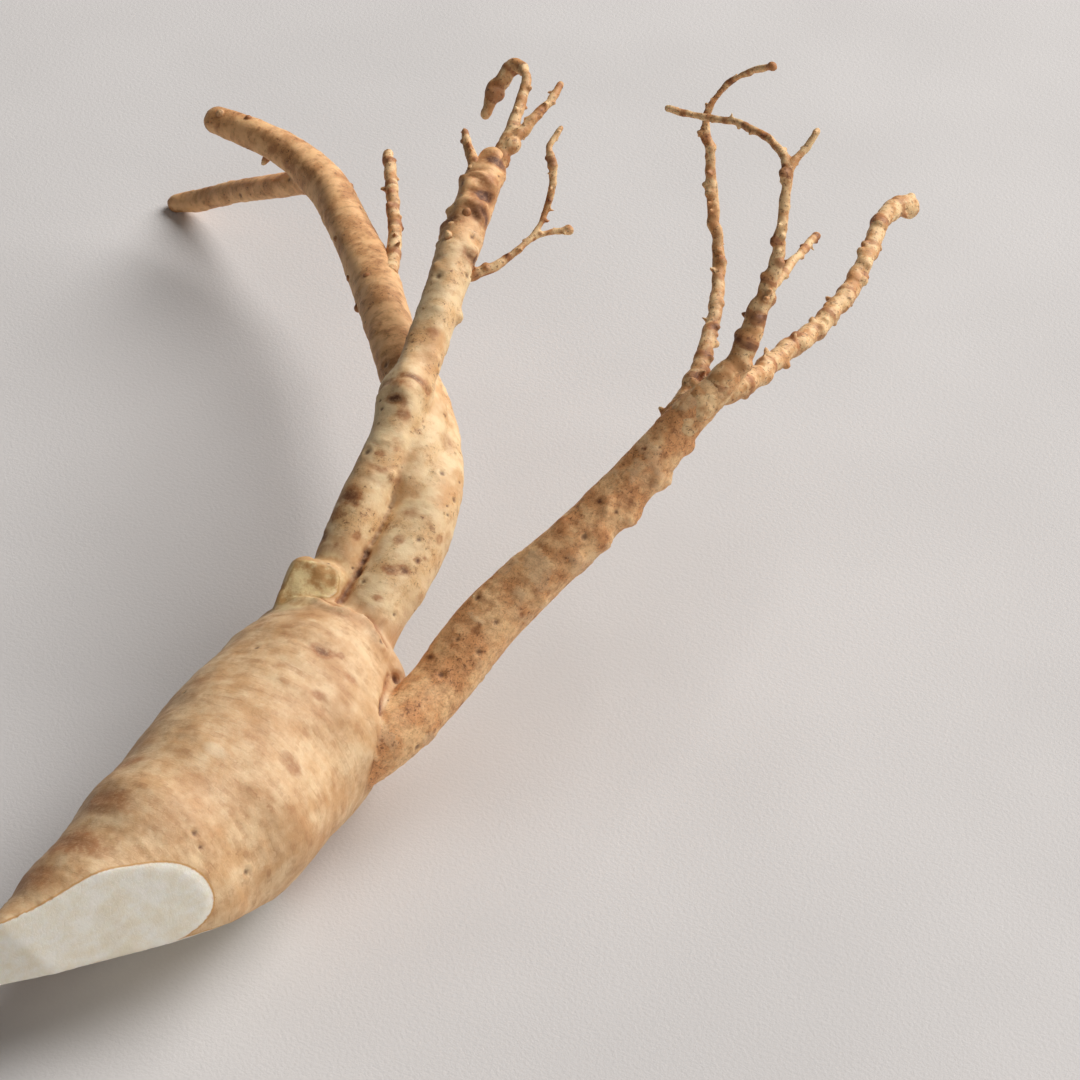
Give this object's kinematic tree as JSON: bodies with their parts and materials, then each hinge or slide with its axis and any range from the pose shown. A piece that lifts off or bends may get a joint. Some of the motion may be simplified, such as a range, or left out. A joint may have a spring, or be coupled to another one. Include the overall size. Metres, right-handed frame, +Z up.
{
  "type": "horseradish root",
  "caption": "Whole horseradish root with a slanting knife cut at the front end, a lipped crown and side roots that rise and spread behind it",
  "frame": {"origin": "middle of the flat spot under the body that the root rests on", "axes": "+Z up, +Y along the body from the cut end to the crown and on towards the tips of the side roots, +X to the right"},
  "size_m": [0.1622, 0.2248, 0.0967],
  "materials": {
    "root_skin": "dry tan root skin with brown specks and scars, and pale cream flesh on the knife cuts"
  },
  "bodies": {
    "root": {"horseradish_root": "root_skin"}
  },
  "joints": []
}
